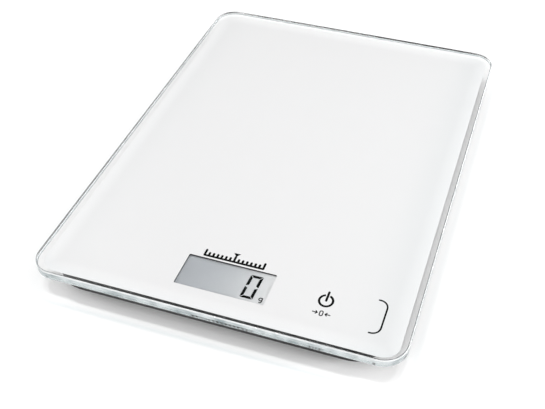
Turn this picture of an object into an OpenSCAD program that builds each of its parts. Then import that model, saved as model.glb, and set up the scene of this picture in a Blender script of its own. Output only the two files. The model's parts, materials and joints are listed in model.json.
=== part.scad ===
// Slim digital kitchen scale: a glass platform on a shallow base with four weighing feet.
// Millimetres. X is to the right, Y to the back and Z up. The display is at the front (-Y).
// The origin is on the surface that the scale stands on, under the middle of the platform.

/* [Platform] */
// Width of the glass platform
platform_w = 187; // [186:1:200]
// Depth of the glass platform
platform_d = 247; // [246:1:260]
// Radius of the platform's corners
platform_r = 12; // [10:1:14]
// Thickness of the glass
glass_t = 5; // [4:0.5:6]
// Width of the polished bevel along the glass edges
arris = 0.6; // [0.4:0.1:1.2]
// Clear border between the white print and the glass edge
print_inset = 3.8; // [3.5:0.1:4.5]

/* [Base] */
// How far the base stands back from the glass at the front
base_inset_front = 2.5; // [2.5:0.1:4]
// How far the base stands back from the glass at the back and the sides
base_inset = 5.5; // [5:0.1:5.6]
// Radius of the base's corners
base_r = 22; // [20:1:24]
// Height of the underside of the floor above the table
floor_z = 2; // [1.8:0.1:2.2]
// Thickness of the floor
floor_t = 1.6; // [1.4:0.1:1.8]
// Height of the top of the rim above the table
rim_top = 11; // [11:0.1:11.4]
// Height and width of the slope between the floor and the rim
slope = 4.4; // [4:0.1:4.6]
// Width of the rim that carries the glass
rim_w = 5; // [4.8:0.1:5.2]

/* [Feet] */
// Distance of the feet from the middle, left and right
foot_x = 67; // [66.5:0.1:67.5]
// Distance of the feet from the middle, front and back
foot_y = 97; // [96.5:0.1:97.5]
// Radius of the rubber pad
pad_r = 8; // [7:0.5:8]

/* [Display] */
// Width of the display window
window_w = 45.9; // [44:0.1:48]
// Depth of the display window
window_d = 19.2; // [18:0.1:20]
// Distance from the middle of the window to the front edge of the glass
window_to_front = 24.7; // [24.5:0.1:25]
// Depth of the display face below the glass
display_drop = 1; // [0.8:0.1:1.1]
// Height of a digit
digit_h = 14.3; // [12:0.1:15]
// Width of a digit
digit_w = 6.5; // [5.5:0.1:7]

/* [Hidden] */
$fn = 64;

// Small overlap that lets a cut pass through a face
cut = 1;

// Heights of the layers under the glass
tape_t = 0.4;
print_t = 0.1;
print_z = rim_top + tape_t;
glass_z = print_z + print_t;
cavity_z = floor_z + floor_t;

// Half sizes of the outlines
glass_hx = platform_w / 2;
glass_hy = platform_d / 2;
print_hx = glass_hx - print_inset;
print_hy = glass_hy - print_inset;
rim_hx = glass_hx - base_inset;
rim_hy = glass_hy - (base_inset_front + base_inset) / 2;

// Middle of the base, which is a little nearer to the front
base_y = (base_inset_front - base_inset) / 2;

// Groove that hollows the rim
rim_wall = 1.6;
groove_z = 7;

// Stiffening ribs
rib_t = 1.2;
rib_top = 10.4;
rib_x = [-50, -25, 0, 25, 50];
rib_y = [-36, -6, 24, 54, 84];
support_pad_w = 14;

// Gaps between moving pieces and the base
gap = 0.3;

// Foot and load cell, from the table up
cap_r = pad_r + 1.8;
pad_t = 1.6;
cap_z = 0.8;
pocket_clearance = 0.1;
flange_r = cap_r + 0.8;
flange_z = cavity_z + gap;
flange_t = 0.6;
post_r = 2.5;
cell_z = 5.6;
cell_t = 1.5;
cell_w = 22;
cell_r = 1.5;
cell_hole = 9;
tongue_w = 8;
slot_w = 1.2;
slot_front = -7;
slot_back = 6;
pillar_r = 1.7;
gauge_z = cell_z + cell_t;
gauge_t = 0.15;

// Self-tapping screws: the cell's and the board's
cell_screw_r = 0.75;
cell_head_r = 1.5;
cell_head_h = 1;
board_screw_r = 0.9;
board_head_r = 1.8;
board_head_h = 1.2;
screw_clearance = 0.05;
screw_tip_z = 4;
bore_bottom_z = 3;

// Coin cell, its well and its bayonet cap
battery_pos = [0, -60];
battery_r = 10;
battery_h = 3.2;
battery_z = 4.4;
well_r = 16.4;
well_top = 9.6;
well_ceiling = 8.4;
well_inner_r = 10.6;
bay_r = 12.9;
bay_t = 2;
lug_r = 14.4;
lug_z = 3;
lug_t = 0.8;
lug_angle = 24;
ledge_t = 0.8;
turn_to_open = 40;
coin_slot = [16, 2, 1];

// Contacts of the coin cell
contact_t = 0.4;
contact_w = 5;
tail_top = 10.2;
tail_w = 3;

// Unit button on the underside
button_pos = [-20, -98];
button_r = 4;
button_flange_r = 5.2;
button_post_r = 1.5;
button_post_top = 5;
plunger_r = 1;
plunger_top = 5.55;
switch_w = 4.5;
switch_z = 5.3;
switch_bore_top = 5.9;

// Board
board_z = 6.2;
board_t = 1;
board_hx = 54;
board_y = [-114, -83.5];
board_top = board_z + board_t;
board_screw_at = [51, -86.5, -110.5];
boss_r = 2.2;

// Display
display_y = window_to_front - glass_hy;
window_r = 0.7;
display_z = glass_z - display_drop;
polariser_t = 0.2;
display_glass_t = 1.6;
display_hx = 26;
display_hy = 12.5;
bezel_hx = 28.5;
bezel_hy = 15;
bezel_lip = 0.4;
display_clearance = 0.2;
segment_t = 0.05;
digit_at = [9.9, -7.4];
digit_stroke = 1.45;
digit_gap = 0.22;
digit_slant = 0.05;
unit_at = [20.2, -6];

// Controls, placed from the front edge of the glass
key_pos = [50, 26.6 - glass_hy];
key_r = 3.88;
key_stroke = 1.15;
key_gap_angle = 18;
key_bar = 5.3;
zero_pos = [50, 18.95 - glass_hy];
bracket_pos = [78.5, 24.95 - glass_hy];
bracket_h = 19.5;
bracket_w = 4.75;
bracket_r = 4;
bracket_stroke = 0.85;
dial_pos = [-0.35, 38.2 - glass_hy];
dial_steps = 14;
dial_pitch = 2.2;
dial_stroke = 1.2;

// Electrical pieces on the board
chip_pos = [36, -99];
chip_w = 7;
lead_count = 8;
lead_pitch = 0.8;
spring_turns = 4;
spring_r = 2.6;
spring_wire_r = 0.25;
electrode_t = 0.1;

// Wires: radius, height on the floor and height on the board
wire_r = 0.45;
wire_z = cavity_z + 0.8;
wire_board_z = board_top + wire_r + 0.05;
wire_pitch = 1.1;
pad_pitch = 1.6;
wire_sides = 8;
joint_r = 0.75;

// Corners of the base, as signs: left or right, front or rear
FRONT_LEFT = [-1, -1];
FRONT_RIGHT = [1, -1];
REAR_LEFT = [-1, 1];
REAR_RIGHT = [1, 1];
CORNERS = [FRONT_LEFT, FRONT_RIGHT, REAR_LEFT, REAR_RIGHT];

// Colours
CLEAR = [0.86, 0.93, 0.92, 0.35];
WHITE = [0.95, 0.95, 0.95];
BLACK = [0.06, 0.06, 0.07];
HOUSING = [0.13, 0.13, 0.14];
STEEL = [0.72, 0.72, 0.74];
GOLD = [0.82, 0.68, 0.36];
RUBBER = [0.2, 0.2, 0.21];
GREEN = [0.1, 0.34, 0.2];

// ---------- Shapes that repeat ----------

// Rectangle with rounded corners, given by its half sizes
module round_rect(hx, hy, r) {
    square([2 * (hx - r), 2 * hy], center = true);
    square([2 * hx, 2 * (hy - r)], center = true);
    for (sx = [-1, 1], sy = [-1, 1])
        translate([sx * (hx - r), sy * (hy - r)])
            circle(r);
}

// Plate with rounded corners, from height z
module round_plate(hx, hy, r, z, h) {
    translate([0, 0, z])
        linear_extrude(h)
            round_rect(hx, hy, r);
}

// Plate with rounded corners that widens by grow between z and z + h
module sloped_plate(hx, hy, r, z, h, grow) {
    for (sx = [-1, 1], sy = [-1, 1])
        translate([sx * (hx - r), sy * (hy - r), z])
            cylinder(h = h, r1 = r, r2 = r + grow);
    translate([r - hx, 0, 0])
        rotate([90, 0, 90])
            linear_extrude(2 * (hx - r))
                polygon([[-hy, z], [hy, z], [hy + grow, z + h], [-hy - grow, z + h]]);
    translate([0, hy - r, 0])
        rotate([90, 0, 0])
            linear_extrude(2 * (hy - r))
                polygon([[-hx, z], [hx, z], [hx + grow, z + h], [-hx - grow, z + h]]);
}

// Straight line of a drawing, with round ends
module stroke(a, b, w) {
    span = b - a;
    translate(a)
        rotate(atan2(span[1], span[0])) {
            translate([0, -w / 2])
                square([norm(span), w]);
            circle(w / 2);
            translate([norm(span), 0])
                circle(w / 2);
        }
}

// Circle line of a drawing
module ring_line(r, w) {
    difference() {
        circle(r + w / 2);
        circle(r - w / 2);
    }
}

// Centred block that stands on height z
module block(size, z) {
    translate([-size[0] / 2, -size[1] / 2, z])
        cube(size);
}

// Puts a piece at a foot, turned so that its +Y side faces the middle of the scale
module at_foot(corner) {
    translate([corner[0] * foot_x, corner[1] * foot_y])
        rotate(corner[1] < 0 ? 0 : 180)
            children();
}

// Puts a piece at each hole of a load cell
module at_cell_holes() {
    for (sx = [-1, 1], sy = [-1, 1])
        translate([sx * cell_hole, sy * cell_hole])
            children();
}

// Puts a piece at each screw of the board
module at_board_screws() {
    for (sx = [-1, 1], y = [board_screw_at[1], board_screw_at[2]])
        translate([sx * board_screw_at[0], y])
            children();
}

// Route with each corner cut twice, which rounds it
function round_route(p, times) =
    times == 0 ? p : round_route(concat([p[0]],
        [for (i = [0 : len(p) - 2], f = [0.25, 0.75]) p[i] * (1 - f) + p[i + 1] * f],
        [p[len(p) - 1]]), times - 1);

// Direction of a route at one of its points
function heading(p, i) =
    let (d = p[min(i + 1, len(p) - 1)] - p[max(i - 1, 0)])
    d / norm(d);

// Points of a round ring across a route. The slanted reference is never along a route.
function ring_points(p, i, r, sides) =
    let (t = heading(p, i), c = cross(t, [1, 0.8, 0.5]), u = c / norm(c), v = cross(t, u))
    [for (k = [0 : sides - 1]) p[i] + r * (cos(360 * k / sides) * u + sin(360 * k / sides) * v)];

// Round wire along a route
module wire(p, r, sides) {
    rings = len(p);
    points = [for (i = [0 : rings - 1]) each ring_points(p, i, r, sides)];
    walls = [for (i = [0 : rings - 2], k = [0 : sides - 1])
        let (n = (k + 1) % sides)
        each [[i * sides + k, i * sides + n, (i + 1) * sides + n],
            [i * sides + k, (i + 1) * sides + n, (i + 1) * sides + k]]];
    start = [for (k = [sides - 1 : -1 : 0]) k];
    end = [for (k = [0 : sides - 1]) (rings - 1) * sides + k];
    polyhedron(points, concat(walls, [start, end]), convexity = 6);
}

// ---------- Platform ----------

// Tempered glass plate with bevelled edges
module glass_platform() color(CLEAR) {
    sloped_plate(glass_hx - arris, glass_hy - arris, platform_r - arris, glass_z, arris, arris);
    round_plate(glass_hx, glass_hy, platform_r, glass_z + arris, glass_t - 2 * arris);
    sloped_plate(glass_hx, glass_hy, platform_r, glass_z + glass_t - arris, arris, -arris);
}

// Print on the underside of the glass, open at the display
module white_backprint() color(WHITE)
    translate([0, 0, print_z])
        linear_extrude(print_t)
            difference() {
                round_rect(print_hx, print_hy, platform_r - print_inset);
                translate([0, display_y])
                    round_rect(window_w / 2, window_d / 2, window_r);
                symbols();
            }

// Black symbols in the same layer as the white print
module printed_symbols() color(BLACK)
    translate([0, 0, print_z])
        linear_extrude(print_t)
            symbols();

module symbols() {
    translate(key_pos)
        power_symbol();
    translate(zero_pos)
        zero_symbol();
    translate(bracket_pos)
        bracket_mark();
    translate(dial_pos)
        dial_mark();
}

// On and off symbol: a ring open at the top, with a bar in the opening
module power_symbol() {
    middle_r = key_r - key_stroke / 2;
    difference() {
        ring_line(middle_r, key_stroke);
        polygon([[0, 0], for (s = [-1, 1]) 2 * key_r * [s * sin(key_gap_angle), cos(key_gap_angle)]]);
    }
    stroke([0, 0.1], [0, key_bar], key_stroke);
}

// Reset to zero: two arrows that point at a nought
module zero_symbol() {
    nought_r = 0.75;
    nought_h = 0.65;
    line = 0.55;
    shaft_end = 4.2;
    tip = 1.9;
    barb = 0.8;
    for (s = [-1, 1]) {
        stroke([s * nought_r, -nought_h], [s * nought_r, nought_h], line);
        stroke([s * tip, 0], [s * shaft_end, 0], line);
        for (b = [-barb, barb])
            stroke([s * tip, 0], [s * (tip + barb), b], line);
        translate([0, s * nought_h])
            intersection() {
                ring_line(nought_r, line);
                translate([-cut, s < 0 ? -2 * cut : 0])
                    square([2 * cut, 2 * cut]);
            }
    }
}

// Round-cornered bracket that marks the right end of the control strip
module bracket_mark() {
    half = bracket_h / 2;
    stroke([0, -half + bracket_r], [0, half - bracket_r], bracket_stroke);
    for (s = [-1, 1]) {
        translate([-bracket_r, s * (half - bracket_r)])
            intersection() {
                ring_line(bracket_r, bracket_stroke);
                translate([0, s < 0 ? -2 * bracket_r : 0])
                    square(2 * bracket_r);
            }
        stroke([-bracket_r, s * half], [-bracket_w, s * half], bracket_stroke);
    }
}

// Plain row of graduation marks with a pointer, above the display
module dial_mark() {
    short = 1.9;
    tall = 3.4;
    foot = -2.4;
    half = dial_steps / 2;
    stroke([-half * dial_pitch, foot], [half * dial_pitch, foot], dial_stroke);
    for (i = [-half : half])
        stroke([i * dial_pitch, foot], [i * dial_pitch, foot + (i % 7 == 0 ? tall : short)], dial_stroke);
    translate([0, foot + tall])
        polygon([[0, 0], [1.8, 2.2], [-1.8, 2.2]]);
}

// Double-sided tape between the rim and the glass
module adhesive_frame() {
    margin = 0.4;
    outer_r = base_r - margin;
    inner_r = base_r - rim_w + margin;
    color(BLACK)
        translate([0, base_y, rim_top])
            linear_extrude(tape_t)
                difference() {
                    round_rect(rim_hx - margin, rim_hy - margin, outer_r);
                    round_rect(rim_hx - rim_w + margin, rim_hy - rim_w + margin, inner_r);
                }
}

// ---------- Base ----------

// Shallow moulded tray that holds everything
module base_housing() color(HOUSING)
    difference() {
        union() {
            difference() {
                translate([0, base_y, 0])
                    housing_outside();
                translate([0, base_y, 0])
                    round_plate(rim_hx - rim_w, rim_hy - rim_w, base_r - rim_w, cavity_z, rim_top);
                translate([0, base_y, 0])
                    rim_groove();
            }
            ribs();
            translate(battery_pos)
                translate([0, 0, floor_z])
                    cylinder(h = well_top - floor_z, r = well_r);
            for (corner = CORNERS)
                at_foot(corner)
                    at_cell_holes()
                        translate([0, 0, cavity_z - cut])
                            cylinder(h = cell_z - cavity_z + cut, r = pillar_r);
            at_board_screws()
                translate([0, 0, cavity_z - cut])
                    cylinder(h = board_z - cavity_z + cut, r = boss_r);
        }
        for (corner = CORNERS)
            at_foot(corner) {
                translate([0, 0, floor_z - cut])
                    cylinder(h = floor_t + 2 * cut, r = cap_r + gap);
                at_cell_holes()
                    translate([0, 0, bore_bottom_z])
                        cylinder(h = cell_z, r = cell_screw_r + screw_clearance);
            }
        at_board_screws()
            translate([0, 0, bore_bottom_z])
                cylinder(h = board_z, r = board_screw_r + screw_clearance);
        translate([button_pos[0], button_pos[1], floor_z - cut])
            cylinder(h = floor_t + 2 * cut, r = button_r + gap);
        translate(battery_pos)
            battery_space();
    }

module housing_outside() {
    sloped_plate(rim_hx - slope, rim_hy - slope, base_r - slope, floor_z, slope, slope);
    round_plate(rim_hx, rim_hy, base_r, floor_z + slope, rim_top - floor_z - slope);
}

// Groove in the top of the rim, which keeps its walls thin
module rim_groove() {
    inner = rim_w - rim_wall;
    difference() {
        round_plate(rim_hx - rim_wall, rim_hy - rim_wall, base_r - rim_wall, groove_z, rim_top);
        round_plate(rim_hx - inner, rim_hy - inner, base_r - inner, groove_z - cut, rim_top + 2 * cut);
    }
}

module ribs() {
    rib_h = rib_top - cavity_z + cut;
    rib_len_x = rib_x[len(rib_x) - 1] - rib_x[0] + rib_t;
    rib_len_y = rib_y[len(rib_y) - 1] - rib_y[0] + rib_t;
    for (y = rib_y)
        translate([-rib_len_x / 2, y - rib_t / 2, cavity_z - cut])
            cube([rib_len_x, rib_t, rib_h]);
    for (x = rib_x)
        translate([x - rib_t / 2, rib_y[0] - rib_t / 2, cavity_z - cut])
            cube([rib_t, rib_len_y, rib_h]);
}

// Everything that is cut from the battery well
module battery_space() {
    translate([0, 0, floor_z - cut])
        cylinder(h = bay_t + cut + gap, r = bay_r + gap);
    translate([0, 0, floor_z + ledge_t])
        cylinder(h = bay_t - ledge_t + gap, r = lug_r + gap);
    translate([0, 0, floor_z])
        cylinder(h = well_ceiling - floor_z, r = well_inner_r);
    for (turn = [0, 180])
        rotate(turn + turn_to_open)
            translate([0, 0, floor_z - cut])
                lug_shape(lug_r + gap, lug_angle + 6, ledge_t + 2 * cut);
    translate([0, -contact_w / 2 - gap, floor_z + bay_t])
        cube([battery_r + contact_t + 2 * gap, contact_w + 2 * gap, well_ceiling - floor_z - bay_t]);
    positive_tail(gap);
    negative_tail(gap);
}

// Sector of a disc, centred on +X
module lug_shape(r, angle, h) {
    rotate([0, 0, -angle / 2])
        rotate_extrude(angle = angle)
            square([r, h]);
}

// Foam pads on the ribs under the middle of the glass
module support_pads() color("dimgray")
    for (x = [rib_x[1], rib_x[3]], y = [rib_y[1], rib_y[3]])
        translate([x, y])
            block([support_pad_w, support_pad_w, print_z - rib_top], rib_top);

// ---------- Battery ----------

// Round cap with two bayonet lugs and a slot for a coin
module battery_cap() color(HOUSING)
    translate(battery_pos)
        difference() {
            union() {
                translate([0, 0, floor_z])
                    cylinder(h = bay_t, r = bay_r);
                for (turn = [0, 180])
                    rotate(turn)
                        translate([0, 0, lug_z])
                            lug_shape(lug_r, lug_angle, lug_t);
            }
            block([coin_slot[0], coin_slot[1], coin_slot[2] + cut], floor_z - cut);
        }

// Coin cell, 20 mm wide and 3.2 mm thick, with its small face up
module battery_cell() {
    can_h = 2.6;
    bevel = 0.4;
    small_r = 8.6;
    color(STEEL)
        translate([battery_pos[0], battery_pos[1], battery_z])
            rotate_extrude()
                polygon([[0, 0], [battery_r - bevel, 0], [battery_r, bevel], [battery_r, can_h],
                    [small_r, can_h], [small_r, battery_h], [0, battery_h]]);
}

// Upright strip that touches the side of the cell
module battery_contact_positive() color(GOLD)
    translate(battery_pos) {
        translate([battery_r, -contact_w / 2, battery_z])
            cube([contact_t, contact_w, well_ceiling - battery_z]);
        positive_tail(0);
    }

module positive_tail(margin) {
    translate([battery_r - margin, -tail_w / 2 - margin, well_ceiling - cut])
        cube([contact_t + 2 * margin, tail_w + 2 * margin, tail_top - well_ceiling + cut]);
}

// Plate with a sprung dimple that presses on the small face of the cell
module battery_contact_negative() color(GOLD)
    translate(battery_pos) {
        block([9, 6, contact_t], well_ceiling - contact_t);
        translate([0, 0, battery_z + battery_h])
            cylinder(h = well_ceiling - contact_t - battery_z - battery_h, r = 1.6);
        negative_tail(0);
    }

module negative_tail(margin) {
    translate([-4.5 - margin, -tail_w / 2 - margin, well_ceiling - contact_t])
        cube([contact_t + 2 * margin, tail_w + 2 * margin, tail_top - well_ceiling + contact_t]);
}

// Wires from the two contacts to the board
module battery_leads() color("firebrick") {
    lead_z = well_top + wire_r + 0.1;
    ends = [[battery_r + contact_t + wire_r, 1], [-4.5 - wire_r, -1]];
    for (e = ends)
        wire(round_route([[e[0], battery_pos[1], lead_z], [e[0], battery_pos[1] - 6, lead_z],
            [e[1] * 22, -78, lead_z], [e[1] * 32, -79, 8.6], [e[1] * 32, -83, 8.2],
            [e[1] * 32, -86, wire_board_z]], 2), wire_r, wire_sides);
}

// ---------- Unit button ----------

module unit_button() color("gray")
    translate([button_pos[0], button_pos[1]]) {
        translate([0, 0, floor_z])
            cylinder(h = flange_z - floor_z, r = button_r);
        translate([0, 0, flange_z])
            cylinder(h = 0.4, r = button_flange_r);
        translate([0, 0, flange_z])
            cylinder(h = button_post_top - flange_z, r = button_post_r);
    }

module switch_plunger() color("ivory")
    translate([button_pos[0], button_pos[1], button_post_top])
        cylinder(h = plunger_top - button_post_top, r = plunger_r);

module tactile_switch() color(BLACK)
    translate(button_pos)
        difference() {
            block([switch_w, switch_w, board_z - switch_z], switch_z);
            translate([0, 0, switch_z - cut])
                cylinder(h = switch_bore_top - switch_z + cut, r = plunger_r + screw_clearance);
        }

// ---------- Board ----------

module main_board() color(GREEN)
    difference() {
        translate([-board_hx, board_y[0], board_z])
            cube([2 * board_hx, board_y[1] - board_y[0], board_t]);
        at_board_screws()
            translate([0, 0, board_z - cut])
                cylinder(h = board_t + 2 * cut, r = board_screw_r + 0.2);
    }

module board_screws() color(STEEL)
    at_board_screws()
        screw(board_top, board_screw_r, board_head_r, board_head_h);

module screw(head_z, r, head_r, head_h) {
    slot_d = head_h / 2;
    translate([0, 0, screw_tip_z])
        cylinder(h = head_z - screw_tip_z, r = r);
    translate([0, 0, head_z])
        difference() {
            cylinder(h = head_h, r = head_r);
            for (turn = [0, 90])
                rotate(turn)
                    block([1.3 * head_r, 0.3 * head_r, head_h], head_h - slot_d);
        }
}

module controller_chip() color(BLACK)
    translate(chip_pos)
        block([chip_w, chip_w, 1.2], board_top + 0.1);

// Legs on the four sides of the chip
module chip_leads() color(STEEL)
    translate(chip_pos)
        for (side = [0 : 90 : 270], i = [0 : lead_count - 1])
            rotate(side)
                translate([chip_w / 2, (i - (lead_count - 1) / 2) * lead_pitch - 0.15, board_top])
                    cube([1, 0.3, 0.3]);

// Chip resistors and capacitors in two rows
module small_components() color("tan")
    for (i = [0 : 5], row = [0, 1])
        translate([-48 + i * 3, -94 - row * 6])
            block([1, 2, 0.7], board_top);

module crystal_can() color(STEEL)
    translate([-40, -107])
        round_plate(4, 1.6, 1.5, board_top, 2);

// Coil that carries the touch signal from the board to the electrode
module touch_spring() {
    bottom = board_top + spring_wire_r;
    top = print_z - electrode_t - spring_wire_r - 0.02;
    steps = 20 * spring_turns;
    coil = [for (i = [0 : steps])
        [key_pos[0] + spring_r * cos(360 * spring_turns * i / steps),
            key_pos[1] + spring_r * sin(360 * spring_turns * i / steps),
            bottom + (top - bottom) * i / steps]];
    color(STEEL)
        wire(coil, spring_wire_r, 6);
}

// Round foil under the touch key
module touch_electrode() color("peru")
    translate([key_pos[0], key_pos[1], print_z - electrode_t])
        cylinder(h = electrode_t, r = key_r);

// ---------- Display ----------

module at_display() {
    translate([0, display_y])
        children();
}

module display_glass() color("lightgray")
    at_display()
        block([2 * display_hx, 2 * display_hy, display_glass_t], display_z - polariser_t - display_glass_t);

module display_polariser() color("silver")
    at_display()
        block([2 * display_hx - 1, 2 * display_hy - 1, polariser_t], display_z - polariser_t);

// Dark frame that holds the display on the board
module display_bezel() {
    pocket_hx = display_hx + display_clearance;
    pocket_hy = display_hy + display_clearance;
    margin = 0.1;
    color(BLACK)
        at_display()
            difference() {
                block([2 * bezel_hx, 2 * bezel_hy, display_z + bezel_lip - board_top], board_top);
                block([2 * pocket_hx, 2 * pocket_hy, display_z - board_top + cut], board_top - cut);
                round_plate(window_w / 2 + margin, window_d / 2 + margin, window_r,
                    display_z - cut, bezel_lip + 2 * cut);
            }
}

// Foam that closes the gap between the bezel and the glass
module display_gasket() {
    margin = 0.1;
    bottom = display_z + bezel_lip;
    color(BLACK)
        at_display()
            difference() {
                block([2 * bezel_hx, 2 * bezel_hy, print_z - bottom], bottom);
                round_plate(window_w / 2 + margin, window_d / 2 + margin, window_r,
                    bottom - cut, print_z - bottom + 2 * cut);
            }
}

// Elastomer strips that connect the display to the board
module zebra_connectors() {
    strip_h = display_z - polariser_t - display_glass_t - board_top;
    color("dimgray")
        at_display()
            for (side = [-1, 1])
                translate([0, side * (display_hy - 1.5)])
                    block([2 * display_hx - 4, 2, strip_h], board_top);
}

// Lit segments: a nought and the unit sign for grams
module display_segments() color(BLACK)
    at_display()
        translate([0, 0, display_z])
            linear_extrude(segment_t) {
                translate(digit_at)
                    digit_nought();
                translate(unit_at)
                    gram_sign();
            }

// Point of a digit, leaned to the right
function lean(p) = [p[0] + digit_slant * p[1], p[1]];

// The six outer segments of a seven-segment digit
module digit_nought() {
    w = digit_w;
    h = digit_h;
    s = digit_stroke;
    g = digit_gap;
    for (end = [0, 1]) {
        y = end * h;
        inward = end == 0 ? 1 : -1;
        polygon([for (p = [[g, y], [w - g, y], [w - s - g, y + inward * s], [s + g, y + inward * s]])
            lean(p)]);
        for (side = [0, 1]) {
            x = side * w;
            inner_x = side == 0 ? s : w - s;
            polygon([for (p = [[x, y + inward * g], [x, h / 2 - inward * g],
                [inner_x, h / 2 - inward * (g + s / 2)], [inner_x, y + inward * (s + g)]])
                lean(p)]);
        }
    }
}

// Small letter g, the sign for grams
module gram_sign() {
    bowl_r = 0.8;
    line = 0.5;
    tail = 1.95;
    ring_line(bowl_r, line);
    stroke([bowl_r, bowl_r], [bowl_r, -tail + bowl_r], line);
    translate([0, -tail + bowl_r])
        difference() {
            ring_line(bowl_r, line);
            translate([-2, 0])
                square([4, 2]);
            translate([-2, -2])
                square([1.6, 4]);
        }
}

// ---------- Load cells ----------

// Flat steel cell with a tongue that the foot bends
module load_cell(corner) color(STEEL)
    at_foot(corner)
        translate([0, 0, cell_z])
            linear_extrude(cell_t)
                difference() {
                    round_rect(cell_w / 2, cell_w / 2, cell_r);
                    for (side = [-1, 1])
                        stroke([side * (tongue_w + slot_w) / 2, slot_front],
                            [side * (tongue_w + slot_w) / 2, slot_back], slot_w);
                    stroke([-(tongue_w + slot_w) / 2, slot_front],
                        [(tongue_w + slot_w) / 2, slot_front], slot_w);
                    at_cell_holes()
                        circle(cell_screw_r + 0.15);
                }

// Film gauges on the root of each tongue
module strain_gauges() color("peru")
    for (corner = CORNERS)
        at_foot(corner)
            translate([0, 4.5])
                block([4, 4, gauge_t], gauge_z);

// White sealant over the solder side of each gauge
module gauge_coatings() color("whitesmoke")
    for (corner = CORNERS)
        at_foot(corner)
            translate([0, 8])
                round_plate(3, 1.4, 1.2, gauge_z, 0.5);

module load_cell_screws() color(STEEL)
    for (corner = CORNERS)
        at_foot(corner)
            at_cell_holes()
                screw(gauge_z, cell_screw_r, cell_head_r, cell_head_h);

// ---------- Wires ----------

// Route of one wire of a front foot, on the right side; k is -1, 0 or 1
function front_route(k) = [
    [foot_x + k * wire_pitch, -88, 8.1], [foot_x + k * wire_pitch, -84, 8.1],
    [foot_x + k * wire_pitch, -78 + k * wire_pitch, wire_z],
    [56, -78 + k * wire_pitch, wire_z],
    [46 - k * pad_pitch, -78 + k * wire_pitch, wire_z],
    [46 - k * pad_pitch, -81.5, 8.6], [46 - k * pad_pitch, -85.5, wire_board_z]
];

// Route of one wire of a rear foot, on the right side
function rear_route(k) = [
    [foot_x + k * wire_pitch, 88, 8.1], [foot_x + k * wire_pitch, 84, 8.1],
    [foot_x + k * wire_pitch, 78, wire_z], [57 + k * wire_pitch, 68, wire_z],
    [57 + k * wire_pitch, 0, wire_z], [57 + k * wire_pitch, -70 - k * wire_pitch, wire_z],
    [38 + k * pad_pitch, -70 - k * wire_pitch, wire_z],
    [38 + k * pad_pitch, -80, 8.6], [38 + k * pad_pitch, -85.5, wire_board_z]
];

// The same wire of all four feet
module load_cell_wires(k) {
    for (side = [0, 1], route = [front_route(k), rear_route(k)])
        mirror([side, 0, 0])
            wire(round_route(route, 2), wire_r, wire_sides);
}

// Solder on the board where the wires of the load cells end
module solder_joints() color(STEEL)
    for (side = [-1, 1], k = [-1 : 1], x = [38 + k * pad_pitch, 46 - k * pad_pitch])
        translate([side * x, -86.3, board_top])
            cylinder(h = 0.9, r1 = joint_r, r2 = joint_r / 2);

// ---------- Feet ----------

// Rigid foot that comes through the floor and presses on the tongue of its load cell
module foot_cap(corner) color("dimgray")
    at_foot(corner)
        difference() {
            union() {
                translate([0, 0, cap_z])
                    cylinder(h = flange_z + flange_t - cap_z, r = cap_r);
                translate([0, 0, flange_z])
                    cylinder(h = flange_t, r = flange_r);
                translate([0, 0, flange_z])
                    cylinder(h = cell_z - flange_z, r = post_r);
            }
            translate([0, 0, cap_z - cut])
                cylinder(h = pad_t - cap_z + cut, r = pad_r + pocket_clearance);
        }

// Rubber pad in the foot
module foot_pad(corner) {
    bevel = 0.4;
    color(RUBBER)
        at_foot(corner)
            rotate_extrude()
                polygon([[0, 0], [pad_r - bevel, 0], [pad_r, bevel], [pad_r, pad_t], [0, pad_t]]);
}

// ---------- Nodes ----------

glass_platform();
white_backprint();
printed_symbols();
adhesive_frame();
base_housing();
support_pads();
battery_cap();
battery_cell();
battery_contact_positive();
battery_contact_negative();
battery_leads();
unit_button();
switch_plunger();
tactile_switch();
main_board();
board_screws();
display_glass();
display_polariser();
display_segments();
display_bezel();
display_gasket();
zebra_connectors();
controller_chip();
chip_leads();
small_components();
crystal_can();
touch_spring();
touch_electrode();
load_cell(FRONT_LEFT);  // load_cell_front_left
load_cell(FRONT_RIGHT);  // load_cell_front_right
load_cell(REAR_LEFT);  // load_cell_rear_left
load_cell(REAR_RIGHT);  // load_cell_rear_right
strain_gauges();
gauge_coatings();
load_cell_screws();
color("firebrick") load_cell_wires(-1);  // load_cell_wires_red
color("whitesmoke") load_cell_wires(0);  // load_cell_wires_white
color(BLACK) load_cell_wires(1);  // load_cell_wires_black
solder_joints();
foot_cap(FRONT_LEFT);  // foot_cap_front_left
foot_cap(FRONT_RIGHT);  // foot_cap_front_right
foot_cap(REAR_LEFT);  // foot_cap_rear_left
foot_cap(REAR_RIGHT);  // foot_cap_rear_right
foot_pad(FRONT_LEFT);  // foot_pad_front_left
foot_pad(FRONT_RIGHT);  // foot_pad_front_right
foot_pad(REAR_LEFT);  // foot_pad_rear_left
foot_pad(REAR_RIGHT);  // foot_pad_rear_right
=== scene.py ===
"""Looks of a slim glass kitchen scale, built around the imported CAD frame. Blender 4.5, metres."""

import json
import math

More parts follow.
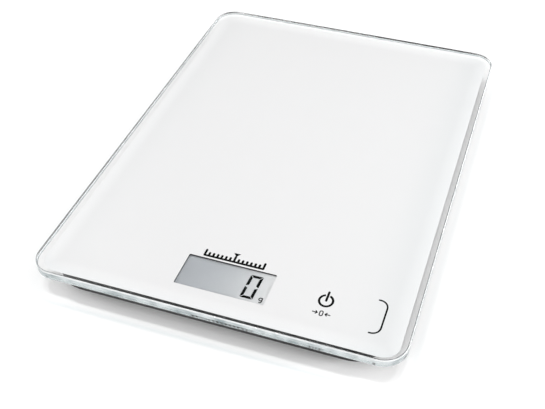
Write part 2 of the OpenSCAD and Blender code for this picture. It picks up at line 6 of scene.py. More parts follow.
import bmesh
import bpy
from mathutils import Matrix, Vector


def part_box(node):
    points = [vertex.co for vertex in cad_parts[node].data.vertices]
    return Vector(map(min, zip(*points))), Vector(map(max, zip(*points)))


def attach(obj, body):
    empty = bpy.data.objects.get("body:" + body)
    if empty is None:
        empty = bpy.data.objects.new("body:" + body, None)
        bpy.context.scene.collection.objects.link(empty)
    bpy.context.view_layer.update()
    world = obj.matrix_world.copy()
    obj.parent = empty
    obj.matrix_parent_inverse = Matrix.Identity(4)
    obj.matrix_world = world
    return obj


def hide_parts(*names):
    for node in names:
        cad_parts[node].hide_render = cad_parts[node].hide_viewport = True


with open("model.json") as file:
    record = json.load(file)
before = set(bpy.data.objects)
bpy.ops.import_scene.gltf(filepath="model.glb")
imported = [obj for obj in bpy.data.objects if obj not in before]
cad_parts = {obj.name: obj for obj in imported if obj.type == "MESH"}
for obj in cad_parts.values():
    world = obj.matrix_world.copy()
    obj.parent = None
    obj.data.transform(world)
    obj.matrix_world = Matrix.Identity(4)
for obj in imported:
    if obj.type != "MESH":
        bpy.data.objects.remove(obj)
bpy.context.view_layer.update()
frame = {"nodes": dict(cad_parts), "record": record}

MM = 0.001
BODY = "scale_body"
CORNERS = ("front_left", "front_right", "rear_left", "rear_right")
PLAIN_WHITE = (1, 1, 1)

# ---------------------------------------------------------------- places, from the frame

GLASS_LOW, GLASS_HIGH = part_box("glass_platform")
BASE_BOTTOM_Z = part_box("base_housing")[0].z

# ---------------------------------------------------------------- sizes of the finished pieces

PLATE_CORNER_R = 12 * MM
PLATE_CORNER_STEPS = 16
ARRIS = 0.5 * MM            # width of the bevels along the plate's edges
SHOULDER_R = 0.2 * MM       # rounding where a bevel meets a face
SHOULDER_EASE = 0.3         # share of the rounding that cuts into the bevel
EDGE_SLANT = 0.1            # upright part of a face's normal, up to which it is the ground edge,
BEVEL_SLANT = 0.9           # up to which it is a bevel,
SHOULDER_SLANT = 0.99       # and up to which it is a shoulder; the rest is flat

PRINT_RISE = 0.03 * MM      # how far the prints go into the glass, so that no gap shows
TOP_BAND = 0.01 * MM        # how close to a layer's top a corner has to be, to count as its top

WELD_DISTANCE = 1e-6
FLAT_ANGLE = math.radians(0.5)      # faces that differ by less are one face
MOULD_ANGLE = math.radians(35)      # edges sharper than this are rounded
ROUNDING_SEGMENTS = 2
TURNED_ANGLE = math.radians(50)     # edges sharper than this stay sharp on turned pieces
LATHE_STEPS = 96
EVEN_WEIGHT = 100           # shading follows the large faces only
BASE_ROUNDING = 0.25 * MM
CAP_ROUNDING = 0.2 * MM
KEY_ROUNDING = 0.3 * MM

FLANGE_STEP = 0.8 * MM      # the flange of a foot is wider than its skirt by this
SKIRT_WALL = 1.7 * MM
POST_R = 2.5 * MM
FLANGE_RISE = 3.1 * MM
FLANGE_THICKNESS = 0.6 * MM
POCKET_DEPTH = 0.8 * MM
SKIRT_ROUNDING = 0.35 * MM
SKIRT_ROUNDING_STEPS = 4

RIBS = 4
RIB_PITCH = 1.5 * MM
RIB_HEIGHT = 0.3 * MM       # above the grooves between the ribs
RIB_SLOPE = 0.15 * MM
PAD_RIM = (0.6 * MM, 0.4 * MM)      # width of the pad's rim at its foot, and of its chamfer
PAD_CHAMFER_TOP = 0.4 * MM

MARK_HEIGHT = 0.2 * MM
MARK_ROOT = 0.1 * MM        # how far a raised mark goes into the plastic
ARROW_R = 8.6 * MM
ARROW_HALF_WIDTH = 0.45 * MM
ARROW_HEAD = 1.1 * MM
ARROW_SWEEP = 50            # degrees
ARROW_STEPS = 10
ARROW_TIP = 12              # degrees
INDEX_TIP_R = 14.2 * MM
INDEX_BASE_R = 16.6 * MM
INDEX_HALF_ANGLE = 5        # degrees
CAP_ARROWS = {"cap_arrow_a": 60, "cap_arrow_b": 240}
INDEX_MARKS = {"closed_mark": 90, "open_mark": 130}

# ---------------------------------------------------------------- looks

GLASS_IOR = 1.52
GLASS_BODY = (0.86, 0.92, 0.93)
GLASS_DENSITY = 4.0
SMEAR_DETAIL = 3
SMEAR_RANGE = (0.4, 0.7)
FINE_DETAIL = 2
HAIRLINE = 2e-6             # relief of polished, printed and drawn surfaces, in metres
BROAD_SHARE = 12            # broad noise has waves this many times longer than the grain's

# name, dark and light tint, lowest and highest roughness, smears per metre, share of light passed
GLASSES = {
    "glass": ("clear_glass", PLAIN_WHITE, PLAIN_WHITE, 0.0, 0.02, 60, (0.99, 0.995, 0.995)),
    "ground_edge": ("ground_glass_edge", (0.12, 0.16, 0.17), (0.95, 0.96, 0.96),
                    0.05, 0.22, 120, (0.93, 0.93, 0.93)),
    # painted dark reflection: the shoulder's glass is tinted nearly black so that the plate's edges
    # show a dark line
    "shoulder": ("shoulder_painted_dark_reflection", (0.03, 0.035, 0.04), (0.12, 0.125, 0.13),
                 0.1, 0.2, 220, (0.95, 0.95, 0.95)),
}

# name, dark and light colour, lowest and highest roughness, grains per metre, relief in metres
SOLIDS = {
    "tape": ("black_foam_tape", (0.01, 0.01, 0.01), (0.02, 0.02, 0.02), 0.7, 0.85, 2500, 2e-5),
    "housing_plastic": ("moulded_dark_plastic", (0.02, 0.02, 0.022), (0.032, 0.032, 0.034),
                        0.42, 0.6, 2600, 2.2e-5),
    "grey_plastic": ("moulded_grey_plastic", (0.12, 0.12, 0.125), (0.17, 0.17, 0.175),
                     0.4, 0.55, 2600, 1.6e-5),
    "ivory_plastic": ("ivory_plastic", (0.6, 0.57, 0.46), (0.7, 0.66, 0.54), 0.4, 0.5, 2000, 4e-6),
    "black_plastic": ("black_plastic", (0.01, 0.01, 0.01), (0.018, 0.018, 0.018),
                      0.45, 0.6, 2600, 1e-5),
    "foam": ("black_foam", (0.012, 0.012, 0.012), (0.03, 0.03, 0.03), 0.85, 0.98, 3000, 5e-5),
    "elastomer": ("striped_elastomer", (0.04, 0.04, 0.045), (0.3, 0.3, 0.31),
                  0.6, 0.7, 4000, 1e-5),
    "board_green": ("solder_mask", (0.008, 0.09, 0.035), (0.015, 0.13, 0.055),
                    0.25, 0.4, 1200, 6e-6),
    "display_glass": ("display_glass_pane", (0.35, 0.38, 0.36), (0.4, 0.43, 0.41),
                      0.05, 0.1, 900, 1e-7),
    "ceramic_tan": ("chip_ceramic", (0.35, 0.24, 0.14), (0.5, 0.38, 0.24), 0.5, 0.6, 3000, 4e-6),
    "gauge_film": ("gauge_film", (0.5, 0.24, 0.06), (0.66, 0.36, 0.12), 0.2, 0.3, 3000, 2e-6),
    "sealant": ("white_sealant", (0.75, 0.75, 0.72), (0.85, 0.85, 0.82), 0.3, 0.5, 500, 5e-5),
    "wire_red": ("red_insulation", (0.35, 0.015, 0.01), (0.5, 0.03, 0.02), 0.35, 0.5, 1500, 5e-6),
    "wire_white": ("white_insulation", (0.7, 0.7, 0.68), (0.82, 0.82, 0.8),
                   0.35, 0.5, 1500, 5e-6),
    "wire_black": ("black_insulation", (0.012, 0.012, 0.012), (0.025, 0.025, 0.025),
                   0.35, 0.5, 1500, 5e-6),
    "pad_rubber": ("non_slip_rubber", (0.018, 0.018, 0.018), (0.035, 0.035, 0.035),
                   0.65, 0.85, 3000, 3e-5),
}

# name, dark and light colour, lowest and highest roughness, how much finer the lines are per axis
METALS = {
    "steel": ("zinc_plated_steel", (0.52, 0.53, 0.55), (0.7, 0.71, 0.73), 0.2, 0.38, (1, 1, 1)),
    "cell_steel": ("rolled_steel", (0.42, 0.43, 0.44), (0.6, 0.61, 0.62), 0.28, 0.45, (1, 14, 1)),
    "copper_foil": ("copper_foil", (0.6, 0.28, 0.16), (0.78, 0.42, 0.28), 0.25, 0.4, (1, 1, 1)),
    "gold_contact": ("gold_plating", (0.75, 0.55, 0.2), (0.9, 0.7, 0.3), 0.18, 0.3, (1, 1, 1)),
}

BLACK_ENAMEL = ("black_enamel", (0.004, 0.004, 0.004), (0.008, 0.008, 0.008), 0.5, 0.6, 900,
                HAIRLINE)
METAL_GRAIN = 900
METAL_DETAIL = 3
METAL_NOISE_ROUGHNESS = 0.6

POLARISER_PLAIN = ((0.5, 0.5, 0.5), 0.38)      # colour and roughness without the textures
# painted reflection on the display: its colour runs from dim at the left end to bright at the right
POLARISER_PAINTED_DIM_END = (0.34, 0.355, 0.375)
POLARISER_PAINTED_BRIGHT_END = (0.77, 0.77, 0.77)
POLARISER_CURVE = 3.0       # above 1, the light end is short
POLARISER_ROUGHNESS = (0.34, 0.42)
POLARISER_GRAIN = 5000

BEVEL_DARK = (0.7, 0.74, 0.75)
BEVEL_LIGHT = (0.96, 0.97, 0.97)
BEVEL_ROUGHNESS = (0.1, 0.3)
BEVEL_GRAIN = 2500
BEVEL_CLEARNESS = 0.5
BEVEL_PASSED = (0.9, 0.9, 0.9)

ENAMEL_PLAIN = ((0.8, 0.8, 0.8), 0.55)         # colour and roughness without the textures
# painted light: the print's colour goes from the inner tone to the outer one near its edge, for
# light that the plate gathers there
ENAMEL_INNER = (0.75, 0.743, 0.745)
ENAMEL_PAINTED_EDGE_LIGHT = (0.83, 0.824, 0.826)
ENAMEL_RAMP = (0.1, 1.1)
PAINTED_EDGE_LIGHT_REACH = 8 * MM       # width of the brighter band along the edge of the print
ENAMEL_CLOUDS = 75          # waves per metre
ENAMEL_CLOUD_SHARE = 0.2
ENAMEL_ROUGHNESS = (0.5, 0.6)
ENAMEL_GRAIN = 900

# ---------------------------------------------------------------- studio

FLOOR_HALF = 40             # metres
FLOOR_COLOR = (0.93, 0.93, 0.93)
FLOOR_ROUGHNESS = 0.9
FLOOR_SPECULAR = 0.1
FLOOR_GLOW = 0.35
FLOOR_GLOW_FROM, FLOOR_GLOW_TO = 0.4, 1.4      # metres from the middle

# name, place, diameter, power in watts; all of them point at the scale
LAMPS = (
    ("high_lamp_left", (-0.16, 0.27, 1.1), 0.12, 2.3),
    ("high_lamp_right", (0.12, 0.27, 1.1), 0.12, 1.8),
    ("low_lamp_left", (-0.7, 0.0, 0.14), 0.2, 1.2),
    ("low_lamp_right", (0.7, 0.0, 0.12), 0.2, 4.5),
    ("front_lamp", (-0.47, -1.18, 0.79), 0.35, 2.4),
)
MIRRORED_LAMP = "front_lamp"

DOME_MIDDLE, DOME_SIDES = 0.62, 1.75
CARD_DIRECTION = (0.05, 0.72, 0.69)
CARD_LEVEL = 0.04
CARD_FADE = (0.8, 0.9)      # cosines of the angle from the card's middle
SKIRTING_LEVEL = 0.06
SKIRTING_FADE = (0.1, 0.25)     # upright part of the direction

SENSOR_WIDTH = 36           # millimetres, as the lens
LENS = 53.47
LENS_SHIFT_X = -0.0872
CAMERA_PLACE = (0.1202, -0.3247, 0.3112)
CAMERA_TARGET = (0.0285, -0.0393, GLASS_HIGH.z)


# ---------------------------------------------------------------- node helpers

def material(name):
    """A new material with an empty tree: the material, its tree and its output node."""
    mat = bpy.data.materials.new(name)
    mat.use_nodes = True
    tree = mat.node_tree
    tree.nodes.clear()
    return mat, tree, tree.nodes.new("ShaderNodeOutputMaterial")


def principled(tree, color, roughness, **sockets):
    """A Principled shader with plain values on its own sockets."""
    shader = tree.nodes.new("ShaderNodeBsdfPrincipled")
    shader.inputs["Base Color"].default_value = (*color, 1)
    shader.inputs["Roughness"].default_value = roughness
    for socket, value in sockets.items():
        shader.inputs[socket.replace("_", " ")].default_value = value
    return shader


def noise(tree, scale, detail=4.0, roughness=0.5, stretch=(1, 1, 1)):
    """Noise in object coordinates; scale is in waves per metre."""
    coords = tree.nodes.new("ShaderNodeTexCoord")
    mapping = tree.nodes.new("ShaderNodeMapping")
    mapping.inputs["Scale"].default_value = stretch
    texture = tree.nodes.new("ShaderNodeTexNoise")
    texture.inputs["Scale"].default_value = scale
    texture.inputs["Detail"].default_value = detail
    texture.inputs["Roughness"].default_value = roughness
    tree.links.new(coords.outputs["Object"], mapping.inputs["Vector"])
    tree.links.new(mapping.outputs["Vector"], texture.inputs["Vector"])
    return texture.outputs["Fac"]


def split_vector(tree, output):
    """The X, Y and Z of one output of the texture coordinates."""
    coords = tree.nodes.new("ShaderNodeTexCoord")
    split = tree.nodes.new("ShaderNodeSeparateXYZ")
    tree.links.new(coords.outputs[output], split.inputs["Vector"])
    return split.outputs


def spread(tree, source, low, high, start=0.3, end=0.7):
    """Maps a value's range from start to end onto low to high."""
    node = tree.nodes.new("ShaderNodeMapRange")
    node.inputs["From Min"].default_value = start
    node.inputs["From Max"].default_value = end
    node.inputs["To Min"].default_value = low
    node.inputs["To Max"].default_value = high
    tree.links.new(source, node.inputs["Value"])
    return node.outputs["Result"]


def math_node(tree, operation, source, other=0.0):
    """One operation on a value; other is a number or a socket."""
    node = tree.nodes.new("ShaderNodeMath")
    node.operation = operation
    tree.links.new(source, node.inputs[0])
    if isinstance(other, (int, float)):
        node.inputs[1].default_value = other
    else:
        tree.links.new(other, node.inputs[1])
    return node.outputs["Value"]


def tint(tree, source, dark, light, start=0.3, end=0.7):
    """A colour between dark and light, by a value."""
    ramp = tree.nodes.new("ShaderNodeValToRGB")
    ramp.color_ramp.elements[0].position = start
    ramp.color_ramp.elements[0].color = (*dark, 1)
    ramp.color_ramp.elements[1].position = end
    ramp.color_ramp.elements[1].color = (*light, 1)
    tree.links.new(source, ramp.inputs["Fac"])
    return ramp.outputs["Color"]


def bump(tree, shader, source, height):
    """Relief of that height, in metres, on a shader."""
    node = tree.nodes.new("ShaderNodeBump")
    node.inputs["Distance"].default_value = height
    node.inputs["Strength"].default_value = 1.0
    tree.links.new(source, node.inputs["Height"])
    tree.links.new(node.outputs["Normal"], shader.inputs["Normal"])


def let_light_through(tree, shader, out, passed):
    """Links a shader to the output; lamps and soft light pass it by a fixed share, as glass."""
    clear = tree.nodes.new("ShaderNodeBsdfTransparent")
    clear.inputs["Color"].default_value = (*passed, 1)
    path = tree.nodes.new("ShaderNodeLightPath")
    either = math_node(tree, "MAXIMUM", path.outputs["Is Shadow Ray"],
                       path.outputs["Is Diffuse Ray"])
    mix = tree.nodes.new("ShaderNodeMixShader")
    tree.links.new(either, mix.inputs["Fac"])
    tree.links.new(shader.outputs["BSDF"], mix.inputs[1])
    tree.links.new(clear.outputs["BSDF"], mix.inputs[2])
    tree.links.new(mix.outputs["Shader"], out.inputs["Surface"])


# ---------------------------------------------------------------- materials

def surface(name, dark, light, rough_low, rough_high, grain, relief, **sockets):
    """A general solid: colour and roughness vary with broad noise, relief with fine grain."""
    mat, tree, out = material(name)
    shader = principled(tree, light, rough_low, **sockets)
    broad = noise(tree, grain / BROAD_SHARE)
    tree.links.new(tint(tree, broad, dark, light), shader.inputs["Base Color"])
    tree.links.new(spread(tree, broad, rough_low, rough_high), shader.inputs["Roughness"])
    bump(tree, shader, noise(tree, grain, FINE_DETAIL), relief)
    tree.links.new(shader.outputs["BSDF"], out.inputs["Surface"])
    return mat


def metal(name, dark, light, rough_low, rough_high, stretch):
    """Metal with a fine grain, or with drawn lines where stretch makes one axis finer."""
    mat, tree, out = material(name)
    shader = principled(tree, light, rough_low, Metallic=1.0)
    lines = noise(tree, METAL_GRAIN, METAL_DETAIL, METAL_NOISE_ROUGHNESS, stretch)
    tree.links.new(tint(tree, lines, dark, light), shader.inputs["Base Color"])
    tree.links.new(spread(tree, lines, rough_low, rough_high), shader.inputs["Roughness"])
    bump(tree, shader, lines, HAIRLINE)
    tree.links.new(shader.outputs["BSDF"], out.inputs["Surface"])
    return mat


def glass(name, dark, light, rough_low, rough_high, smears_per_metre, passed):
    """Glass whose skin varies with noise and whose body takes a little light."""
    mat, tree, out = material(name)
    shader = principled(tree, light, rough_low, Transmission_Weight=1.0, IOR=GLASS_IOR)
    smears = noise(tree, smears_per_metre, SMEAR_DETAIL)
    tree.links.new(spread(tree, smears, rough_low, rough_high, *SMEAR_RANGE),
                   shader.inputs["Roughness"])
    if dark != light:
        tree.links.new(tint(tree, smears, dark, light), shader.inputs["Base Color"])
    let_light_through(tree, shader, out, passed)
    absorb = tree.nodes.new("ShaderNodeVolumeAbsorption")
    absorb.inputs["Color"].default_value = (*GLASS_BODY, 1)
    absorb.inputs["Density"].default_value = GLASS_DENSITY
    tree.links.new(absorb.outputs["Volume"], out.inputs["Volume"])
    return mat


def honed_bevel():
    """Fine-ground bevel of the glass: bright and silky, and light passes it."""
    mat, tree, out = material("honed_glass_bevel")
    shader = principled(tree, BEVEL_LIGHT, BEVEL_ROUGHNESS[0],
                        Transmission_Weight=BEVEL_CLEARNESS, IOR=GLASS_IOR)
    broad = noise(tree, BEVEL_GRAIN / BROAD_SHARE)
    tree.links.new(tint(tree, broad, BEVEL_DARK, BEVEL_LIGHT), shader.inputs["Base Color"])
    tree.links.new(spread(tree, broad, *BEVEL_ROUGHNESS), shader.inputs["Roughness"])
    bump(tree, shader, noise(tree, BEVEL_GRAIN, FINE_DETAIL), HAIRLINE)
    let_light_through(tree, shader, out, BEVEL_PASSED)
    return mat


def polariser():
    """Reflective polariser with a painted reflection: its colour is darker towards its left end and
    lighter towards its right; with a fine grain.
    """
    low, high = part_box("display_polariser")
    mat, tree, out = material("reflective_polariser")
    shader = principled(tree, *POLARISER_PLAIN)
    share = spread(tree, split_vector(tree, "Object")["X"], 0.0, 1.0, low.x, high.x)
    along = math_node(tree, "POWER", share, POLARISER_CURVE)
    tree.links.new(tint(tree, along, POLARISER_PAINTED_DIM_END, POLARISER_PAINTED_BRIGHT_END, 0.0, 1.0),
                   shader.inputs["Base Color"])
    grain = noise(tree, POLARISER_GRAIN, FINE_DETAIL)
    tree.links.new(spread(tree, grain, *POLARISER_ROUGHNESS), shader.inputs["Roughness"])
    bump(tree, shader, grain, HAIRLINE)
    tree.links.new(shader.outputs["BSDF"], out.inputs["Surface"])
    return mat


def enamel_with_painted_edge_light():
    """White print under the glass, with painted light: its colour is brighter near its edge, for
    the light that the plate gathers there.
    """
    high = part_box("white_backprint")[1]
    mat, tree, out = material("white_enamel")
    shader = principled(tree, *ENAMEL_PLAIN, Specular_IOR_Level=0.0)
    position = split_vector(tree, "Object")
    # painted light: the colour brightens towards the print's edge
    from_x, from_y = (
        spread(tree, math_node(tree, "ABSOLUTE", position[axis]), 1.0, 0.0,
               edge, edge - PAINTED_EDGE_LIGHT_REACH)
        for axis, edge in (("X", high.x), ("Y", high.y)))
    near = math_node(tree, "MAXIMUM", from_x, from_y)
    broad = noise(tree, ENAMEL_CLOUDS)
    clouds = math_node(tree, "MULTIPLY", broad, ENAMEL_CLOUD_SHARE)
    level = math_node(tree, "ADD", near, clouds)
    tree.links.new(tint(tree, level, ENAMEL_INNER, ENAMEL_PAINTED_EDGE_LIGHT, *ENAMEL_RAMP),
                   shader.inputs["Base Color"])
    tree.links.new(spread(tree, broad, *ENAMEL_ROUGHNESS), shader.inputs["Roughness"])
    bump(tree, shader, noise(tree, ENAMEL_GRAIN, FINE_DETAIL), HAIRLINE)
    tree.links.new(shader.outputs["BSDF"], out.inputs["Surface"])
    return mat


def make_materials():
    """One material for every slot of the record, and three more for the parts of the plate."""
    mats = {slot: glass(*row) for slot, row in GLASSES.items()}
    mats.update({slot: surface(*row) for slot, row in SOLIDS.items()})
    mats.update({slot: metal(*row) for slot, row in METALS.items()})
    mats["bevel"] = honed_bevel()
    mats["white_print"] = enamel_with_painted_edge_light()
    mats["black_print"] = surface(*BLACK_ENAMEL, Specular_IOR_Level=0.0)
    mats["display_grey"] = polariser()
    return mats


# ---------------------------------------------------------------- mesh helpers

def mesh_object(name, bm, smooth=True):
    """Turns a bmesh into an object with the right face directions."""
    bmesh.ops.recalc_face_normals(bm, faces=bm.faces)
    mesh = bpy.data.meshes.new(name)
    bm.to_mesh(mesh)
    bm.free()
    mesh.polygons.foreach_set("use_smooth", [smooth] * len(mesh.polygons))
    return linked_object(name, mesh)


def linked_object(name, data):
    """A new object in the scene."""
    obj = bpy.data.objects.new(name, data)
    bpy.context.scene.collection.objects.link(obj)
    return obj


def set_materials(obj, *mats):
    """Gives an object these materials and no others."""
    obj.data.materials.clear()
    for mat in mats:
        obj.data.materials.append(mat)


def place(obj, body, slot_name, *nodes):
    """Gives a piece its body and hides the CAD nodes that it stands for; slot_name is not used."""
    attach(obj, body)
    if nodes:
        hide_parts(*nodes)


def polar(centre, radius, degrees):
    """A point at that radius and angle from a centre."""
    angle = math.radians(degrees)
    return centre[0] + radius * math.cos(angle), centre[1] + radius * math.sin(angle)


def rounded_outline(hx, hy, r, steps):
    """Points of a rectangle with round corners, anticlockwise."""
    points = []
    for i, (sx, sy) in enumerate(((1, 1), (-1, 1), (-1, -1), (1, -1))):
        for k in range(steps + 1):
            points.append(polar((sx * (hx - r), sy * (hy - r)), r, 90 * (i + k / steps)))
    return points


# ---------------------------------------------------------------- glass platform

def glass_platform():
    """A polished plate whose edges are ground flat, with honed bevels and rounded shoulders."""
    ease = SHOULDER_R * SHOULDER_EASE
    profile = [(ARRIS + SHOULDER_R, 0), (ARRIS - ease, ease), (ease, ARRIS - ease),
               (0, ARRIS + SHOULDER_R)]
    rings = [(inset, GLASS_LOW.z + z) for inset, z in profile]
    rings += [(inset, GLASS_HIGH.z - z) for inset, z in reversed(profile)]
    bm = bmesh.new()
    loops = []
    for inset, z in rings:
        outline = rounded_outline(GLASS_HIGH.x - inset, GLASS_HIGH.y - inset,
                                  PLATE_CORNER_R - inset, PLATE_CORNER_STEPS)
        loops.append([bm.verts.new((x, y, z)) for x, y in outline])
    for a, b in zip(loops, loops[1:]):
        for k in range(len(a)):
            n = (k + 1) % len(a)
            bm.faces.new((a[k], a[n], b[n], b[k]))
    bm.faces.new(loops[0])
    bm.faces.new(loops[-1])
    return mesh_object("glass_plate", bm)


def dress_platform(plate, mats):
    """Gives each part of the plate its material, by how its faces slant; the flats are flat."""
    set_materials(plate, mats["glass"], mats["ground_edge"], mats["bevel"], mats["shoulder"])
    flat, edge, bevel, shoulder = range(4)
    for face in plate.data.polygons:
        slant = abs(face.normal.z)
        if slant < EDGE_SLANT:
            face.material_index = edge
        elif slant < BEVEL_SLANT:
            face.material_index = bevel
        elif slant < SHOULDER_SLANT:
            # shoulder faces carry the painted dark reflection
            face.material_index = shoulder
        else:
            face.material_index = flat
        face.use_smooth = slant < SHOULDER_SLANT


# ---------------------------------------------------------------- print, bonded into the glass

def bonded_copy(node, name):
    """A copy of a thin CAD layer whose top lies a little inside the glass, as a bonded print's."""
    obj = linked_object(name, frame["nodes"][node].data.copy())
    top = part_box(node)[1].z
    for v in obj.data.vertices:
        if v.co.z > top - TOP_BAND:
            v.co.z += PRINT_RISE
    return obj


# ---------------------------------------------------------------- moulded pieces

def softened_copy(node, name, width):
    """A copy of a CAD node with its sharp edges rounded, as a mould leaves them."""
    bm = bmesh.new()
    bm.from_mesh(frame["nodes"][node].data)
    bmesh.ops.remove_doubles(bm, verts=bm.verts, dist=WELD_DISTANCE)
    bmesh.ops.dissolve_limit(bm, angle_limit=FLAT_ANGLE, verts=bm.verts, edges=bm.edges)
    obj = mesh_object(name, bm)
    rounding = obj.modifiers.new("rounding", "BEVEL")
    rounding.width = width
    rounding.segments = ROUNDING_SEGMENTS
    rounding.limit_method = "ANGLE"
    rounding.angle_limit = MOULD_ANGLE
    even = obj.modifiers.new("even_shading", "WEIGHTED_NORMAL")
    even.weight = EVEN_WEIGHT
    return obj


def lathe(name, profile, centre):
    """A turned piece: profile is a list of radius and height that starts and ends on the axis."""
    bm = bmesh.new()
    rings = []
    for radius, z in profile:
        if radius == 0:
            rings.append([bm.verts.new((centre.x, centre.y, z))])
            continue
        rings.append([bm.verts.new((*polar(centre, radius, 360 * k / LATHE_STEPS), z))
                      for k in range(LATHE_STEPS)])
    for a, b in zip(rings, rings[1:]):
        for k in range(LATHE_STEPS):
            n = (k + 1) % LATHE_STEPS
            corners = [a[k % len(a)], a[n % len(a)], b[n % len(b)], b[k % len(b)]]
            bm.faces.new(list(dict.fromkeys(corners)))
    obj = mesh_object(name, bm)
    obj.data.set_sharp_from_angle(angle=TURNED_ANGLE)
    return obj


def foot_cap(corner):
    """Rigid foot: a rounded skirt, a flange inside the base and a post under the load cell."""
    low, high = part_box("foot_cap_" + corner)
    flange_r = (high.x - low.x) / 2
    skirt_r = flange_r - FLANGE_STEP
    pocket_r = skirt_r - SKIRT_WALL
    flange_z = low.z + FLANGE_RISE
    pocket_z = low.z + POCKET_DEPTH
    soft = SKIRT_ROUNDING
    profile = [(0, pocket_z), (pocket_r, pocket_z), (pocket_r, low.z + soft / 2),
               (pocket_r + soft / 2, low.z)]
    for k in range(SKIRT_ROUNDING_STEPS + 1):
        angle = math.radians(90 * k / SKIRT_ROUNDING_STEPS)
        profile.append((skirt_r - soft + soft * math.sin(angle),
                        low.z + soft - soft * math.cos(angle)))
    profile += [(skirt_r, flange_z), (flange_r, flange_z), (flange_r, flange_z + FLANGE_THICKNESS)]
    profile += [(POST_R, flange_z + FLANGE_THICKNESS), (POST_R, high.z), (0, high.z)]
    return lathe("foot_shell_" + corner, profile, (low + high) / 2)


def foot_pad(corner):
    """Rubber pad with ring-shaped grip ribs on its face."""
    low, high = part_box("foot_pad_" + corner)
    pad_r = (high.x - low.x) / 2
    groove_z = low.z + RIB_HEIGHT
    profile = [(0, groove_z)]
    for k in range(1, RIBS + 1):
        inner = k * RIB_PITCH
        outer = inner + RIB_PITCH / 2
        profile += [(inner, groove_z), (inner + RIB_SLOPE, low.z), (outer - RIB_SLOPE, low.z),
                    (outer, groove_z)]
    rim, chamfer = PAD_RIM
    profile += [(pad_r - rim, groove_z), (pad_r - chamfer, low.z + RIB_HEIGHT / 2),
                (pad_r, low.z + PAD_CHAMFER_TOP), (pad_r, high.z), (0, high.z)]
    return lathe("grip_pad_" + corner, profile, (low + high) / 2)


def raised_mark(name, outline, face_z):
    """Mark with the given outline that stands out below a face that looks down."""
    bm = bmesh.new()
    ends = [[bm.verts.new((x, y, z)) for x, y in outline]
            for z in (face_z - MARK_HEIGHT, face_z + MARK_ROOT)]
    for side in ends:
        bm.faces.new(side)
    for k in range(len(outline)):
        n = (k + 1) % len(outline)
        bm.faces.new((ends[0][k], ends[0][n], ends[1][n], ends[1][k]))
    return mesh_object(name, bm, smooth=False)


def turn_arrow(name, centre, start):
    """Curved arrow on the battery cap that shows which way it turns."""
    shaft = [start + ARROW_SWEEP * k / ARROW_STEPS for k in range(ARROW_STEPS + 1)]
    tip = start + ARROW_SWEEP + ARROW_TIP
    outline = [polar(centre, ARROW_R - ARROW_HALF_WIDTH, a) for a in shaft]
    outline += [polar(centre, ARROW_R - ARROW_HEAD, shaft[-1]), polar(centre, ARROW_R, tip),
                polar(centre, ARROW_R + ARROW_HEAD, shaft[-1])]
    outline += [polar(centre, ARROW_R + ARROW_HALF_WIDTH, a) for a in reversed(shaft)]
    return raised_mark(name, outline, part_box("battery_cap")[0].z)


def index_mark(name, centre, degrees):
    """Small triangle on the base that points at the cap."""
    outline = [polar(centre, INDEX_TIP_R, degrees),
               polar(centre, INDEX_BASE_R, degrees - INDEX_HALF_ANGLE),
               polar(centre, INDEX_BASE_R, degrees + INDEX_HALF_ANGLE)]
    return raised_mark(name, outline, BASE_BOTTOM_Z)


# ---------------------------------------------------------------- pieces

def make_top(mats):
    """The glass and the two prints that are bonded to it."""
    plate = glass_platform()
    dress_platform(plate, mats)
    place(plate, BODY, "glass", "glass_platform")
    for node, name, slot in (("white_backprint", "white_print", "white_print"),
                             ("printed_symbols", "symbol_print", "black_print")):
        layer = bonded_copy(node, name)
        set_materials(layer, mats[slot])
        place(layer, BODY, slot, node)


def make_underside(mats):
    """The base, the battery cap with its marks, the unit key and the four feet."""
    low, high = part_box("battery_cap")
    centre = (low + high) / 2
    pieces = [
        (softened_copy("base_housing", "base_shell", BASE_ROUNDING),
         BODY, "housing_plastic", "base_housing"),
        (softened_copy("battery_cap", "battery_cover", CAP_ROUNDING),
         "battery_cap", "housing_plastic", "battery_cap"),
        (softened_copy("unit_button", "unit_key", KEY_ROUNDING),
         "unit_button", "grey_plastic", "unit_button"),
    ]
    pieces += [(turn_arrow(name, centre, start), "battery_cap", "housing_plastic")
               for name, start in CAP_ARROWS.items()]
    pieces += [(index_mark(name, centre, degrees), BODY, "housing_plastic")
               for name, degrees in INDEX_MARKS.items()]
    for corner in CORNERS:
        foot = "foot_" + corner
        pieces.append((foot_cap(corner), foot, "grey_plastic", "foot_cap_" + corner))
        pieces.append((foot_pad(corner), foot, "pad_rubber", "foot_pad_" + corner))
    for obj, body, slot, *nodes in pieces:
        set_materials(obj, mats[slot])
        place(obj, body, slot, *nodes)


def dress_cad_nodes(mats):
    """Every CAD node that stays gets the material of its slot."""
    slots = {s["node"]: s["material_slot"] for s in frame["record"]["subparts"]}
    for name, obj in frame["nodes"].items():
        set_materials(obj, mats[slots[name]])


# ---------------------------------------------------------------- stage, light and camera

def aim(obj, target):
    """Turns a lamp or a camera towards a point."""
    obj.rotation_euler = (target - obj.location).to_track_quat("-Z", "Y").to_euler()


def make_floor():
    """A plain white table that glows far from the scale, so that its end doesn't show."""
    bm = bmesh.new()
    bmesh.ops.create_grid(bm, x_segments=1, y_segments=1, size=FLOOR_HALF)
    floor = mesh_object("studio_floor", bm, smooth=False)
    mat, tree, out = material("studio_floor")
    shader = principled(tree, FLOOR_COLOR, FLOOR_ROUGHNESS, Specular_IOR_Level=FLOOR_SPECULAR,
                        Emission_Color=(*PLAIN_WHITE, 1))
    distance = tree.nodes.new("ShaderNodeVectorMath")
    distance.operation = "LENGTH"
    coords = tree.nodes.new("ShaderNodeTexCoord")
    tree.links.new(coords.outputs["Object"], distance.inputs[0])
    glow = spread(tree, distance.outputs["Value"], 0.0, FLOOR_GLOW, FLOOR_GLOW_FROM, FLOOR_GLOW_TO)
    tree.links.new(glow, shader.inputs["Emission Strength"])
    tree.links.new(shader.outputs["BSDF"], out.inputs["Surface"])
    set_materials(floor, mat)


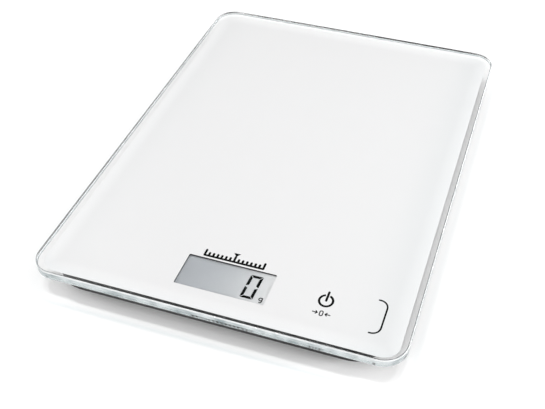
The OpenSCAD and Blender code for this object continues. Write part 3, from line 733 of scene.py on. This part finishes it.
def make_lamps():
    """Two high lamps behind, a low one on each side and one in front, which the bevels mirror."""
    for name, lamp_place, diameter, power in LAMPS:
        lamp = bpy.data.lights.new(name, "AREA")
        lamp.shape = "DISK"
        lamp.size = diameter
        lamp.energy = power
        obj = linked_object(name, lamp)
        obj.location = lamp_place
        obj.visible_glossy = name == MIRRORED_LAMP
        aim(obj, Vector((0, 0, 0)))


def make_world():
    """A dome, brightest at the sides, with a dark card at the back and a dark skirting below.

    The camera itself sees it as plain white, as a cut-out picture's background.
    """
    world = bpy.data.worlds.new("studio")
    world.use_nodes = True
    tree = world.node_tree
    coords = tree.nodes.new("ShaderNodeTexCoord")
    direction = split_vector(tree, "Generated")
    toward = tree.nodes.new("ShaderNodeVectorMath")
    toward.operation = "DOT_PRODUCT"
    toward.inputs[1].default_value = CARD_DIRECTION
    tree.links.new(coords.outputs["Generated"], toward.inputs[0])
    sides = math_node(tree, "POWER", math_node(tree, "ABSOLUTE", direction["X"]), 2)
    level = spread(tree, sides, DOME_MIDDLE, DOME_SIDES, 0.0, 1.0)
    card = spread(tree, toward.outputs["Value"], 1.0, CARD_LEVEL, *CARD_FADE)
    skirting = spread(tree, direction["Z"], SKIRTING_LEVEL, 1.0, *SKIRTING_FADE)
    strength = math_node(tree, "MULTIPLY", math_node(tree, "MULTIPLY", level, card), skirting)
    seen = tree.nodes.new("ShaderNodeLightPath").outputs["Is Camera Ray"]
    background = tree.nodes["Background"]
    background.inputs["Color"].default_value = (*PLAIN_WHITE, 1)
    tree.links.new(math_node(tree, "MAXIMUM", strength, seen), background.inputs["Strength"])
    bpy.context.scene.world = world


def make_camera():
    """Camera above the front right corner, as the picture was taken."""
    camera = bpy.data.cameras.new("camera")
    camera.sensor_width = SENSOR_WIDTH
    camera.lens = LENS
    camera.shift_x = LENS_SHIFT_X
    camera.dof.use_dof = False
    obj = linked_object("camera", camera)
    obj.location = CAMERA_PLACE
    aim(obj, Vector(CAMERA_TARGET))
    bpy.context.scene.camera = obj


# ---------------------------------------------------------------- build

make_camera()
make_floor()
make_world()
make_lamps()
materials = make_materials()
dress_cad_nodes(materials)
make_top(materials)
make_underside(materials)
bpy.context.scene.view_settings.view_transform = "Standard"
